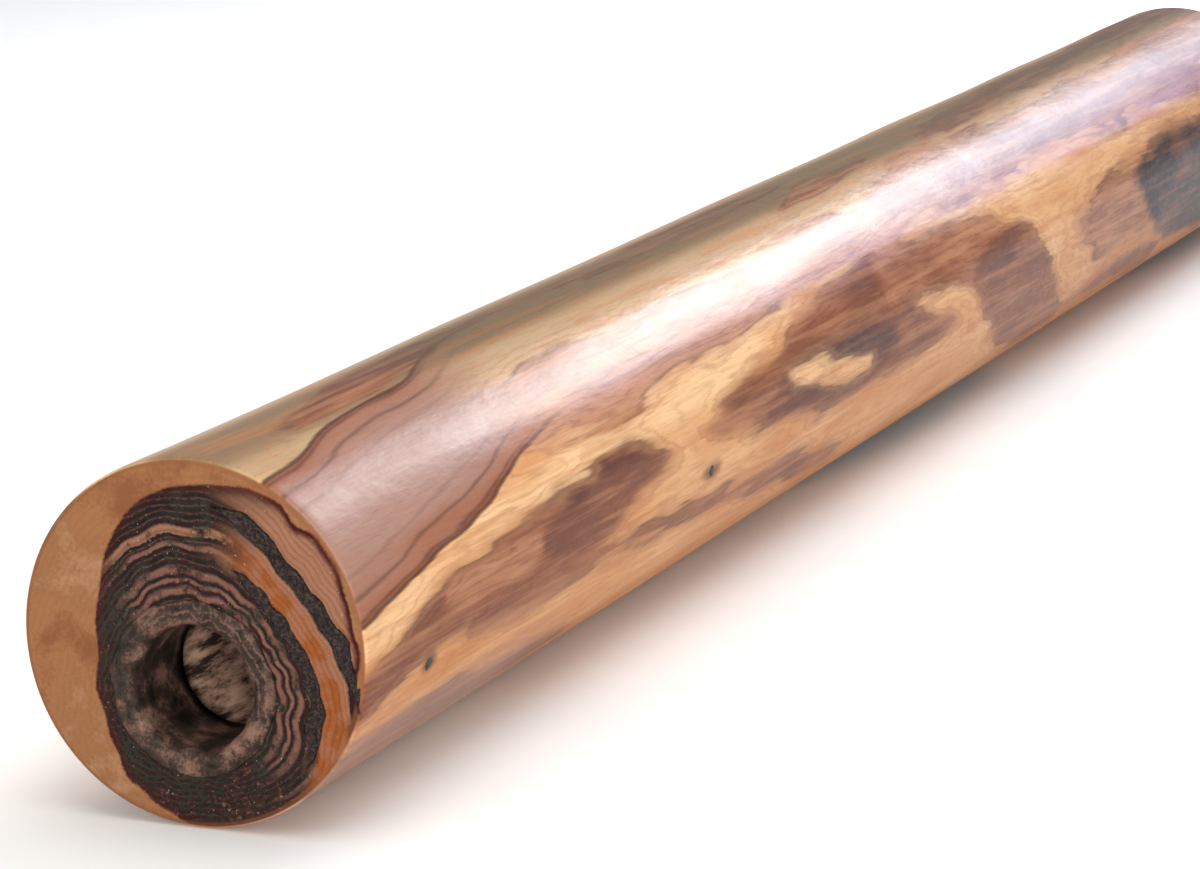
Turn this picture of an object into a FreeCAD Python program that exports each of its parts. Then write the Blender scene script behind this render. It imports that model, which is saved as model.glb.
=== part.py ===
import FreeCAD, Part
import math
import os

import Sketcher

# A didgeridoo made from one naturally hollowed hardwood log, lying on its side.
#
# Frame (millimetres): +Y runs along the log from the blowing end to the bell end, +Z is up and
# +X is the right-hand side seen from the blowing end.  The origin is under the middle of the
# log, on the surface it lies on.
#
# The log is a slender cone.  Every piece is modelled in the log's own frame, whose Y axis is
# the log's centre line and whose origin is the middle of the blowing end's face.  One placement,
# REST, then lays them all down so that the log's lowest line is level and touches the surface.
#
# Separate pieces:
#   log                               the hollow hardwood tube
#   wax_mouthpiece                    beeswax ring set into the blowing end, the player's seat
#   ring_fill_outer, ring_fill_inner  black resin poured into two ring shakes of the end grain
#   pin_plug_near, pin_plug_middle    resin plugs in two borer holes of the right-hand side

DOC = FreeCAD.newDocument("Didgeridoo")

X_AXIS = FreeCAD.Vector(1, 0, 0)
Z_AXIS = FreeCAD.Vector(0, 0, 1)

# Driving dimensions, in millimetres and degrees.  A station is a distance from the blowing end.
DIMENSIONS = [
    # the log's outside
    ("tube_length", 1030),
    ("mouth_radius", 40),
    ("bell_radius", 52),
    ("mouth_edge_round", 1.8),
    ("bell_edge_round", 8),
    ("bell_lip_round", 2),
    # the pipe that termites ate and the maker cleaned out; its axis starts below the log's
    ("pipe_drop", 9.5),
    ("throat_radius", 17.5),
    ("middle_radius", 28),
    ("middle_station", 450),
    ("flare_radius", 34),
    ("flare_station", 820),
    ("bell_hole_radius", 38),
    ("overrun", 3),
    # the wax ring
    ("wax_radius", 18.5),
    ("wax_depth", 22),
    ("blow_radius", 13.5),
    ("wax_lip_round", 3),
    ("wax_proud", 1),
    # the filled ring shakes, arcs about the pipe, turned up from the +X side
    ("shake_depth", 7),
    ("outer_shake_radius", 36.6),
    ("outer_shake_width", 3.2),
    ("outer_shake_start", -3),
    ("outer_shake_sweep", 87),
    ("inner_shake_radius", 28.5),
    ("inner_shake_width", 3),
    ("inner_shake_start", -30),
    ("inner_shake_sweep", 100),
    # the plugged borer holes, turned up from the +X side
    ("pin_radius", 1.3),
    ("pin_depth", 9),
    ("near_pin_station", 34),
    ("near_pin_turn", -13),
    ("middle_pin_station", 214),
    ("middle_pin_turn", -5),
]


def make_sheet():
    """The spreadsheet that every size and place is bound to."""
    sheet = DOC.addObject("Spreadsheet::Sheet", "Sizes")
    for row, (alias, value) in enumerate(DIMENSIONS, start=1):
        sheet.set(f"A{row}", alias)
        sheet.set(f"B{row}", str(value))
        sheet.setAlias(f"B{row}", alias)
    DOC.recompute()
    return sheet


def resting_placement(sheet):
    """Tip the cone by its half angle, so that its lowest line is level at height zero."""
    half_angle = math.atan((sheet.bell_radius - sheet.mouth_radius) / sheet.tube_length)
    level_length = sheet.tube_length * math.cos(half_angle)
    face_centre = FreeCAD.Vector(
        0,
        (sheet.wax_proud - level_length) / 2,
        sheet.mouth_radius * math.cos(half_angle),
    )
    return FreeCAD.Placement(face_centre, FreeCAD.Rotation(X_AXIS, math.degrees(half_angle)))


SHEET = make_sheet()
REST = resting_placement(SHEET)


def lengthwise_sketch(body, name, on_pipe_axis):
    """A sketch on the log's upright middle plane: its x runs along the log, its y upwards.

    On the pipe's axis it starts lower at the blowing end and meets the log's own centre line
    at the bell end.
    """
    sketch = body.newObject("Sketcher::SketchObject", name)
    plane = next(item for item in body.Origin.OriginFeatures if item.Role == "YZ_Plane")
    sketch.AttachmentSupport = [(plane, "")]
    sketch.MapMode = "FlatFace"
    if on_pipe_axis:
        climb = math.degrees(math.atan(SHEET.pipe_drop / SHEET.tube_length))
        sketch.AttachmentOffset = FreeCAD.Placement(
            FreeCAD.Vector(0, -SHEET.pipe_drop, 0), FreeCAD.Rotation(Z_AXIS, climb))
    return sketch


def draw_outline(sketch, corners):
    """Join the corners into a closed outline, each held at (station, radius) from the sheet.

    A corner is a pair of expressions.  FreeCAD dimensions are positive, so the side on which a
    corner lies is taken from the values that the outline is first drawn with.
    """
    points = []
    for station, radius in corners:
        points.append(FreeCAD.Vector(evaluate(station), evaluate(radius), 0))
    for index, point in enumerate(points):
        sketch.addGeometry(Part.LineSegment(point, points[(index + 1) % len(points)]))
    for index in range(len(points)):
        following = (index + 1) % len(points)
        sketch.addConstraint(Sketcher.Constraint("Coincident", index, 2, following, 1))
    for index, (station, radius) in enumerate(corners):
        hold_corner(sketch, index, "X", station)
        hold_corner(sketch, index, "Y", radius)
    DOC.recompute()


def hold_corner(sketch, index, direction, expression):
    """Tie one coordinate of an outline's corner to the sheet."""
    value = evaluate(expression)
    kind = "DistanceX" if direction == "X" else "DistanceY"
    if value == 0:
        axis = -2 if direction == "X" else -1
        sketch.addConstraint(Sketcher.Constraint("PointOnObject", index, 1, axis))
        return
    added = sketch.addConstraint(Sketcher.Constraint(kind, -1, 1, index, 1, value))
    name = f"corner_{index}_{direction.lower()}"
    sketch.renameConstraint(added, name)
    sketch.setExpression(f"Constraints.{name}", expression)


def evaluate(expression):
    """The present value of an expression in the sheet's names."""
    return float(SHEET.evalExpression(expression.replace("Sizes.", "")))


def revolve(body, kind, name, sketch):
    """Turn the outline all the way round its own lengthwise axis."""
    feature = body.newObject(kind, name)
    feature.Profile = sketch
    feature.ReferenceAxis = (sketch, ["H_Axis"])
    feature.Angle = 360
    DOC.recompute()
    return feature


def round_edge(body, name, base, station, radius, rounding):
    """Round the one edge that runs round the log at a station and has about this radius."""
    found = []
    for index, edge in enumerate(base.Shape.Edges, start=1):
        box = edge.BoundBox
        at_station = abs(box.Center.y - station) < 1 and box.YLength < 1
        if at_station and abs(box.XLength / 2 - radius) < 0.5:
            found.append(f"Edge{index}")
    fillet = body.newObject("PartDesign::Fillet", name)
    fillet.Base = (base, found)
    fillet.setExpression("Radius", rounding)
    DOC.recompute()
    return fillet


def make_blank():
    """The hollow log before the shakes and the borer holes are cleaned out."""
    body = DOC.addObject("PartDesign::Body", "Blank")
    outline = lengthwise_sketch(body, "OutsideOutline", on_pipe_axis=False)
    draw_outline(outline, [
        ("0", "0"),
        ("0", "Sizes.mouth_radius"),
        ("Sizes.tube_length", "Sizes.bell_radius"),
        ("Sizes.tube_length", "0"),
    ])
    outside = revolve(body, "PartDesign::Revolution", "Outside", outline)
    outside = round_edge(body, "MouthEdge", outside, 0, SHEET.mouth_radius,
                         "Sizes.mouth_edge_round")
    outside = round_edge(body, "BellEdge", outside, SHEET.tube_length, SHEET.bell_radius,
                         "Sizes.bell_edge_round")

    pipe_outline = lengthwise_sketch(body, "PipeOutline", on_pipe_axis=True)
    draw_outline(pipe_outline, [
        ("-Sizes.overrun", "0"),
        ("-Sizes.overrun", "Sizes.wax_radius"),
        ("Sizes.wax_depth", "Sizes.wax_radius"),
        ("Sizes.wax_depth", "Sizes.throat_radius"),
        ("Sizes.middle_station", "Sizes.middle_radius"),
        ("Sizes.flare_station", "Sizes.flare_radius"),
        ("Sizes.tube_length + Sizes.overrun", "Sizes.bell_hole_radius"),
        ("Sizes.tube_length + Sizes.overrun", "0"),
    ])
    pipe = revolve(body, "PartDesign::Groove", "Pipe", pipe_outline)
    removed = outside.Shape.Volume - pipe.Shape.Volume
    if removed < 1e6:
        raise RuntimeError("the pipe did not cut the log")
    print("pipe removes", round(removed / 1000), "cm3")
    round_edge(body, "BellLip", pipe, SHEET.tube_length, SHEET.bell_hole_radius,
               "Sizes.bell_lip_round")
    return body


def make_wax():
    """The wax ring: it fills its seat and stands a little proud of the wood."""
    body = DOC.addObject("PartDesign::Body", "WaxRing")
    outline = lengthwise_sketch(body, "WaxOutline", on_pipe_axis=True)
    draw_outline(outline, [
        ("-Sizes.wax_proud", "Sizes.blow_radius"),
        ("-Sizes.wax_proud", "Sizes.wax_radius"),
        ("Sizes.wax_depth", "Sizes.wax_radius"),
        ("Sizes.wax_depth", "Sizes.blow_radius"),
    ])
    ring = revolve(body, "PartDesign::Revolution", "WaxTurned", outline)
    round_edge(body, "BlowLip", ring, -SHEET.wax_proud, SHEET.blow_radius, "Sizes.wax_lip_round")
    body.Label = "wax_mouthpiece"
    return body


def wedge(name, radius, which):
    """A sector of a round bar about the pipe's axis, sunk into the blowing end's face."""
    start = evaluate(f"Sizes.{which}_shake_start")
    sweep = evaluate(f"Sizes.{which}_shake_sweep")
    sector = DOC.addObject("Part::Cylinder", name)
    sector.setExpression("Radius", radius)
    sector.setExpression("Height", "Sizes.shake_depth")
    sector.setExpression("Angle", f"Sizes.{which}_shake_sweep")
    # laid along Y, the sector's own angles run down from +X, so it is turned back by its end
    along = FreeCAD.Rotation(X_AXIS, -90)
    turned = FreeCAD.Rotation(Z_AXIS, -(start + sweep))
    sector.Placement = FreeCAD.Placement(FreeCAD.Vector(), along * turned)
    sector.setExpression("Placement.Base.z", "-Sizes.pipe_drop")
    return sector


def make_shake(which):
    """The cleaned-out gap of one ring shake: an arc of a thin ring."""
    radius = f"Sizes.{which}_shake_radius"
    shake = DOC.addObject("Part::Cut", f"{which}_shake")
    shake.Base = wedge(f"{which}_shake_outside", radius, which)
    shake.Tool = wedge(f"{which}_shake_inside", f"{radius} - Sizes.{which}_shake_width", which)
    DOC.recompute()
    return shake


def make_pin_hole(which):
    """A borer hole: a thin bar that points out of the log's side."""
    station = evaluate(f"Sizes.{which}_pin_station")
    turn = math.radians(evaluate(f"Sizes.{which}_pin_turn"))
    taper = (SHEET.bell_radius - SHEET.mouth_radius) / SHEET.tube_length
    side_radius = SHEET.mouth_radius + taper * station
    direction = FreeCAD.Vector(math.cos(turn), 0, math.sin(turn))
    foot = FreeCAD.Vector(0, station, 0) + direction * (side_radius - SHEET.pin_depth)
    hole = DOC.addObject("Part::Cylinder", f"{which}_pin_hole")
    hole.setExpression("Radius", "Sizes.pin_radius")
    hole.setExpression("Height", "Sizes.pin_depth + Sizes.overrun")
    hole.Placement = FreeCAD.Placement(foot, FreeCAD.Rotation(Z_AXIS, direction))
    return hole


def make_filling(cavity, blank, label):
    """The resin that fills a cavity, flush with the log's surface."""
    filling = DOC.addObject("Part::Common", f"{cavity.Name}_resin")
    filling.Base = cavity
    filling.Tool = blank
    filling.Label = label
    DOC.recompute()
    return filling


def make_log(blank, cavities):
    """The finished log: the blank less every cavity that holds resin."""
    hollows = DOC.addObject("Part::MultiFuse", "Cavities")
    hollows.Shapes = cavities
    log = DOC.addObject("Part::Cut", "Log")
    log.Base = blank
    log.Tool = hollows
    log.Label = "log"
    DOC.recompute()
    return log


def check_objects():
    """Stop if any object failed to build."""
    for item in DOC.Objects:
        if "Invalid" in item.State or "Error" in item.State:
            raise RuntimeError(f"{item.Name} did not build: {item.State}")


def export(pieces):
    """Write each piece, once every one of them is a single valid solid."""
    for piece in pieces:
        shape = piece.Shape
        if shape.isNull() or not shape.isValid() or len(shape.Solids) != 1:
            raise RuntimeError(f"{piece.Label} is not one valid solid")
    os.makedirs("parts", exist_ok=True)
    for piece in pieces:
        piece.Shape.exportStep(f"parts/{piece.Label}.step")
        print(piece.Label, round(piece.Shape.Volume / 1000, 2), "cm3", piece.Shape.BoundBox)


BLANK = make_blank()
SHAKES = {which: make_shake(which) for which in ("outer", "inner")}
PIN_HOLES = {which: make_pin_hole(which) for which in ("near", "middle")}
PIECES = [make_log(BLANK, list(SHAKES.values()) + list(PIN_HOLES.values())), make_wax()]
for which, shake in SHAKES.items():
    PIECES.append(make_filling(shake, BLANK, f"ring_fill_{which}"))
for which, hole in PIN_HOLES.items():
    PIECES.append(make_filling(hole, BLANK, f"pin_plug_{which}"))
for piece in PIECES:
    piece.Placement = REST
DOC.recompute()
check_objects()
export(PIECES)
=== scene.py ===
import logging
import math
from dataclasses import dataclass, field
from enum import Enum
from typing import Any, Callable, Mapping, Sequence

import bmesh
import bpy
import numpy as np
from mathutils import Matrix, Vector


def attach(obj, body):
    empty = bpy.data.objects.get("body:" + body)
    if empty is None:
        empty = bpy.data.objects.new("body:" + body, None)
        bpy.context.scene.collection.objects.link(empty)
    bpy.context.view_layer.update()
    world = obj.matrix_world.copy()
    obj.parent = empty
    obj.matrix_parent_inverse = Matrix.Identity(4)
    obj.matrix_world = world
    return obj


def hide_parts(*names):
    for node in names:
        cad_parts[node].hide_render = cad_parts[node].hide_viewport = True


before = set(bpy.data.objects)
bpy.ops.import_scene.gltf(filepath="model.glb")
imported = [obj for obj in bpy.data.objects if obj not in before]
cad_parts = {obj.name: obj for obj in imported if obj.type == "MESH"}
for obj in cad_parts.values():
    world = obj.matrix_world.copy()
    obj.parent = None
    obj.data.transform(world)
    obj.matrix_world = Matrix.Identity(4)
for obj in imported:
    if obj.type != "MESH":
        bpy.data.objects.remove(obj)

Grid = np.ndarray
Socket = bpy.types.NodeSocket
Thing = bpy.types.Object

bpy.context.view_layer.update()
MM = 0.001
RING_SPAN = 50.0
LOG = logging.getLogger("didgeridoo")


class Slot(Enum):
    """The record's material slots."""

    HARDWOOD = "hardwood"
    BEESWAX = "beeswax"
    RESIN = "black_resin"


class Field(Enum):
    """Names of the mesh attributes that carry the grain, and the masks of painted light and shade,
    to the finishes.
    """

    HEART = "heart"
    WEDGE = "wedge"
    TONE = "tone"
    PALENESS_AND_SHADE = "paleness_and_shade"
    WEDGE_FADE = "wedge_fade"
    SHOULDER = "shoulder"
    STAIN = "stain"
    PIPE = "pipe"
    RING = "ring"
    WARM = "warm"
    CROWN = "crown"
    END_HEART = "end_heart"
    END = "end"


Fields = dict[Field, Grid]


# ---- shared geometry


@dataclass(frozen=True)
class Billet:
    """The log's cone and how it lies, in millimetres, as the CAD model has it.

    A station is a distance from the blowing end along the centre line.  A turn is an angle
    round it, in radians, from the +X side up.
    """

    length: float = 1030.0
    mouth_radius: float = 40.0
    bell_radius: float = 52.0
    pipe_drop: float = 9.5
    wax_proud: float = 1.0
    uneven: float = 0.35

    @property
    def half_angle(self) -> float:
        """The cone's half angle in radians."""
        return math.atan((self.bell_radius - self.mouth_radius) / self.length)

    def radius(self, station: Grid | float) -> Grid | float:
        """The outside radius at a station."""
        return self.mouth_radius + (self.bell_radius - self.mouth_radius) * station / self.length

    def drop(self, station: Grid | float, turn: Grid | float) -> Grid:
        """How far the hand-shaped side dips under the true cone, millimetres."""
        radius = self.radius(station)
        dip = Waves(61, (260.0, 70.0, 70.0), 8).at(
            station + 0 * turn, radius * np.cos(turn), radius * np.sin(turn))
        ease = np.clip(np.minimum(station / 25.0, (self.length - station) / 30.0), 0, 1)
        return self.uneven * ease * (0.6 + 0.4 * np.clip(dip, -1.5, 1.5))

    def pipe_height(self, station: Grid | float) -> Grid | float:
        """How far the pipe's axis is above the centre line, negative at the blowing end."""
        return self.pipe_drop * (station / self.length - 1.0)

    def to_world(self, points: Grid) -> Grid:
        """Lay points of the log's own frame down in the scene.

        Args:
            points: (..., 3) array of across, station and up, in millimetres.

        Returns:
            The same points in metres in the CAD frame.
        """
        cosine, sine = math.cos(self.half_angle), math.sin(self.half_angle)
        across, station, up = points[..., 0], points[..., 1], points[..., 2]
        start = (self.wax_proud - self.length * cosine) / 2
        lift = self.mouth_radius * cosine
        world = np.stack(
            [across, start + station * cosine - up * sine, lift + station * sine + up * cosine],
            axis=-1,
        )
        return world * MM


@dataclass(frozen=True)
class Waves:
    """A smooth, seeded wander built from a few sine waves of unlike lengths.

    Attributes:
        seed: fixes the waves' directions and phases.
        lengths: the wave lengths along each of the three inputs.
        count: how many waves are added.
    """

    seed: int
    lengths: tuple[float, float, float]
    count: int = 7

    def at(self, first: Grid, second: Grid | float = 0.0,
           third: Grid | float = 0.0) -> Grid:
        """Sample the wander.

        Args:
            first: first coordinate.
            second: second coordinate.
            third: third coordinate.

        Returns:
            Values that mostly lie between -1 and 1.
        """
        draw = np.random.RandomState(self.seed)
        total = 0.0 * (np.asarray(first) + second + third)
        for _ in range(self.count):
            pace = draw.uniform(0.6, 1.7, 3) * draw.choice([-1, 1], 3)
            phase = draw.uniform(0, 2 * math.pi)
            angle = 2 * math.pi * (
                first * pace[0] / self.lengths[0]
                + second * pace[1] / self.lengths[1]
                + third * pace[2] / self.lengths[2]
            )
            total = total + np.sin(angle + phase)
        return total / math.sqrt(self.count)


def smooth_step(value: Grid, low: float, high: float) -> Grid:
    """Rise smoothly from 0 at low to 1 at high."""
    share = np.clip((value - low) / (high - low), 0, 1)
    return share * share * (3 - 2 * share)


def grid_mesh(name: str, rows: Grid, around: bool, along: bool,
              fields: Mapping[Field, Grid] | None = None) -> Thing:
    """Skin a grid of points with quads.

    Args:
        name: the new object's name.
        rows: (m, n, 3) array of points in metres.
        around: join each row's last point to its first.
        along: join the last row to the first; otherwise the ends are capped when rows are rings.
        fields: values per point, kept as mesh attributes.

    Returns:
        The new object, linked to the scene and shaded smooth.
    """
    count_rows, count_points = rows.shape[:2]
    index = np.arange(count_rows * count_points).reshape(count_rows, count_points)
    if around:
        index = np.concatenate([index, index[:, :1]], axis=1)
    if along:
        index = np.concatenate([index, index[:1]], axis=0)
    quads = np.stack([index[:-1, :-1], index[1:, :-1], index[1:, 1:], index[:-1, 1:]], axis=-1)
    faces = quads.reshape(-1, 4).tolist()
    if around and not along:
        faces.append(index[0, :-1].tolist())
        faces.append(index[-1, :-1][::-1].tolist())
    mesh = bpy.data.meshes.new(name)
    mesh.from_pydata(rows.reshape(-1, 3).tolist(), [], faces)
    for key, values in (fields or {}).items():
        attribute = mesh.attributes.new(key.value, "FLOAT", "POINT")
        attribute.data.foreach_set("value", np.asarray(values, dtype=np.float32).ravel())
    piece = bpy.data.objects.new(name, mesh)
    bpy.context.scene.collection.objects.link(piece)
    turn_outwards(mesh)
    mesh.shade_smooth()
    return piece


def turn_outwards(mesh: bpy.types.Mesh) -> None:
    """Make every face of a closed mesh point out of it.

    Args:
        mesh: the mesh to correct in place.
    """
    work = bmesh.new()
    work.from_mesh(mesh)
    bmesh.ops.recalc_face_normals(work, faces=work.faces)
    if work.calc_volume(signed=True) < 0:
        bmesh.ops.reverse_faces(work, faces=work.faces)
    work.to_mesh(mesh)
    work.free()


# ---- shader writing


class Tree:
    """A node tree that is written one node a call."""

    def __init__(self, tree: bpy.types.NodeTree) -> None:
        """Take up an empty tree."""
        self.tree = tree

    def node(self, kind: str, settings: Mapping[str, Any] | None = None,
             inputs: Mapping[str | int, Any] | None = None) -> bpy.types.Node:
        """Add one node.

        Args:
            kind: the node's type, such as ShaderNodeTexNoise.
            settings: properties set first; "stops" fills a colour ramp.
            inputs: values or links by socket name or number.

        Returns:
            The new node.
        """
        made = self.tree.nodes.new(kind)
        for key, value in (settings or {}).items():
            if key == "stops":
                self._fill_ramp(made.color_ramp, value)
            else:
                setattr(made, key, value)
        for key, value in (inputs or {}).items():
            self._feed(made.inputs[key], value)
        return made

    def _fill_ramp(self, ramp: bpy.types.ColorRamp, stops: Sequence[tuple[float, "Tint"]]) -> None:
        """Set a colour ramp's stops."""
        while len(ramp.elements) < len(stops):
            ramp.elements.new(1.0)
        for element, (place, tint) in zip(ramp.elements, stops):
            element.position = place
            element.color = tint.rgba

    def _feed(self, socket: Socket, value: Any) -> None:
        """Link or set one input socket."""
        if isinstance(value, Signal):
            self.tree.links.new(value.socket, socket)
        elif isinstance(value, Socket):
            self.tree.links.new(value, socket)
        elif isinstance(value, Tint):
            socket.default_value = value.rgba
        else:
            socket.default_value = value


class Graph(Tree):
    """A material's node tree, written with Python expressions."""

    def __init__(self, name: str) -> None:
        """Start an empty material."""
        self.material = bpy.data.materials.new(name)
        self.material.use_nodes = True
        super().__init__(self.material.node_tree)
        self.tree.nodes.clear()

    def attribute(self, field_name: Field) -> "Signal":
        """Read one of the mesh's own fields."""
        made = self.node("ShaderNodeAttribute", {"attribute_name": field_name.value})
        return Signal(self, made.outputs["Fac"])

    def place(self, along: float = 1.0, across: float = 1.0) -> Socket:
        """Object coordinates in millimetres, squeezed along the log and across it."""
        coordinates = self.node("ShaderNodeTexCoord").outputs["Object"]
        scale = (across / MM, along / MM, across / MM)
        mapped = self.node("ShaderNodeMapping", None, {"Vector": coordinates, "Scale": scale})
        return mapped.outputs["Vector"]

    def noise(self, where: Socket, scale: float, detail: float = 3.0,
              roughness: float = 0.55, distortion: float = 0.0) -> "Signal":
        """Fractal noise from 0 to 1."""
        made = self.node("ShaderNodeTexNoise", None, {
            "Vector": where, "Scale": scale, "Detail": detail,
            "Roughness": roughness, "Distortion": distortion,
        })
        return Signal(self, made.outputs["Fac"])

    def math(self, operation: str, first: Any, second: Any = 0.0) -> "Signal":
        """One Math node."""
        made = self.node("ShaderNodeMath", {"operation": operation}, {0: first, 1: second})
        return Signal(self, made.outputs[0])

    def rise(self, value: "Signal", low: float, high: float) -> "Signal":
        """A smooth step from 0 at low to 1 at high; high may be the lower of the two."""
        made = self.node("ShaderNodeMapRange", {"interpolation_type": "SMOOTHSTEP"}, {
            "Value": value, "From Min": min(low, high), "From Max": max(low, high),
        })
        step = Signal(self, made.outputs["Result"])
        return step if low < high else 1 - step

    def mix(self, share: Any, first: Any, second: Any, blend: str = "MIX") -> Socket:
        """Mix two colours."""
        made = self.node("ShaderNodeMix", {"data_type": "RGBA", "blend_type": blend},
                         {0: share, 6: first, 7: second})
        return made.outputs[2]

    def ramp(self, value: "Signal", stops: Sequence[tuple[float, "Tint"]]) -> Socket:
        """Turn a number into a colour."""
        made = self.node("ShaderNodeValToRGB", {"stops": stops}, {"Fac": value})
        return made.outputs["Color"]

    def bump(self, height: "Signal", depth_mm: float, strength: float) -> Socket:
        """Relief of a depth in millimetres."""
        made = self.node("ShaderNodeBump", None, {
            "Height": height, "Distance": depth_mm * MM, "Strength": strength,
        })
        return made.outputs["Normal"]

    def finish(self, settings: Mapping[str, Any]) -> bpy.types.Material:
        """End the tree in a Principled surface and return the material."""
        shader = self.node("ShaderNodeBsdfPrincipled", None, settings)
        self.node("ShaderNodeOutputMaterial", None, {"Surface": shader.outputs["BSDF"]})
        return self.material


def operator(operation: str, reflected: bool = False) -> Callable[["Signal", Any], "Signal"]:
    """Write one arithmetic operator of Signal, or its reflected form.

    Args:
        operation: the Math node's operation.
        reflected: whether the signal is the second of the two values.

    Returns:
        The method.
    """
    def apply(self: "Signal", other: Any) -> "Signal":
        """Add the Math node."""
        pair = (other, self) if reflected else (self, other)
        return self.graph.math(operation, *pair)
    return apply


@dataclass(frozen=True, eq=False)
class Signal:
    """A number inside a shader, which adds and multiplies as a number does."""

    graph: Graph
    socket: Socket

    __add__ = operator("ADD")
    __radd__ = operator("ADD", True)
    __sub__ = operator("SUBTRACT")
    __rsub__ = operator("SUBTRACT", True)
    __mul__ = operator("MULTIPLY")
    __rmul__ = operator("MULTIPLY", True)
    __pow__ = operator("POWER")

    def __abs__(self) -> "Signal":
        """Size without sign."""
        return self.graph.math("ABSOLUTE", self)

    def sine(self) -> "Signal":
        """Sine of the value in radians."""
        return self.graph.math("SINE", self)

    def lines(self, spacing: float, sharpness: float) -> "Signal":
        """Thin lines from 0 to 1, one for each spacing of the value."""
        wave = (self * (2 * math.pi / spacing)).sine() * 0.5 + 0.5
        return wave ** sharpness

    def clamp(self) -> "Signal":
        """The value held between 0 and 1."""
        return self.graph.math("MINIMUM", self.graph.math("MAXIMUM", self, 0.0), 1.0)


@dataclass(frozen=True)
class Tint:
    """A colour given as a maker reads it off a swatch, 0 to 255."""

    red: int
    green: int
    blue: int

    @property
    def rgba(self) -> tuple[float, float, float, float]:
        """The colour in linear light."""
        parts = [value / 255 for value in (self.red, self.green, self.blue)]
        linear = [p / 12.92 if p <= 0.04045 else ((p + 0.055) / 1.055) ** 2.4 for p in parts]
        return (linear[0], linear[1], linear[2], 1.0)


# ---- the wood's figure


def eased(place: Grid, places: Sequence[float], levels: Sequence[float]) -> Grid:
    """Follow listed levels along the log with their corners eased.

    Args:
        place: stations to read, millimetres.
        places: stations of the levels, in order.
        levels: the value at each of them.

    Returns:
        The eased value at every station.
    """
    fine = np.arange(places[0] - 40.0, places[-1] + 40.0, 2.0)
    window = np.hanning(13)
    padded = np.pad(np.interp(fine, places, levels), 6, mode="edge")
    return np.interp(place, fine, np.convolve(padded, window / window.sum(), mode="valid"))


@dataclass(frozen=True)
class Flame:
    """A flame of heartwood on the log's side, between a lower and an upper edge.

    Attributes:
        edges: station in millimetres, then lower and upper turn in degrees, in order.
        tone: 0 for pinkish tan to 1 for dark purple brown.
        heart: whether it is heartwood; otherwise an island of sapwood.
    """

    edges: tuple[tuple[float, float, float], ...]
    tone: float = 0.6
    heart: bool = True

    def depth(self, station: Grid, turn: Grid, radius: Grid) -> Grid:
        """How deep inside the flame a point of the side is.

        Args:
            station: distances from the blowing end, millimetres.
            turn: angles round the log, radians.
            radius: the log's radius there, millimetres.

        Returns:
            Roughly millimetres from the flame's edge, positive inside.
        """
        places = [edge[0] for edge in self.edges]
        low = np.radians(eased(station, places, [edge[1] for edge in self.edges]))
        high = np.radians(eased(station, places, [edge[2] for edge in self.edges]))
        offset = (turn - (low + high) / 2 + np.pi) % (2 * np.pi) - np.pi
        across = ((high - low) / 2 - np.abs(offset)) * radius
        along = np.minimum(station - places[0], places[-1] - station) * 0.4
        return np.where(along < 0, np.minimum(across, along), across)


WEDGE = Flame((
    (-40, 4, 60), (0, 10.5, 64), (20, 14, 67), (40, 19, 73), (60, 22, 75.5), (80, 26, 77),
    (95, 32, 79), (118, 38, 86), (150, 42, 95), (230, 50, 96), (260, 60, 80)), tone=0.0)

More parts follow.
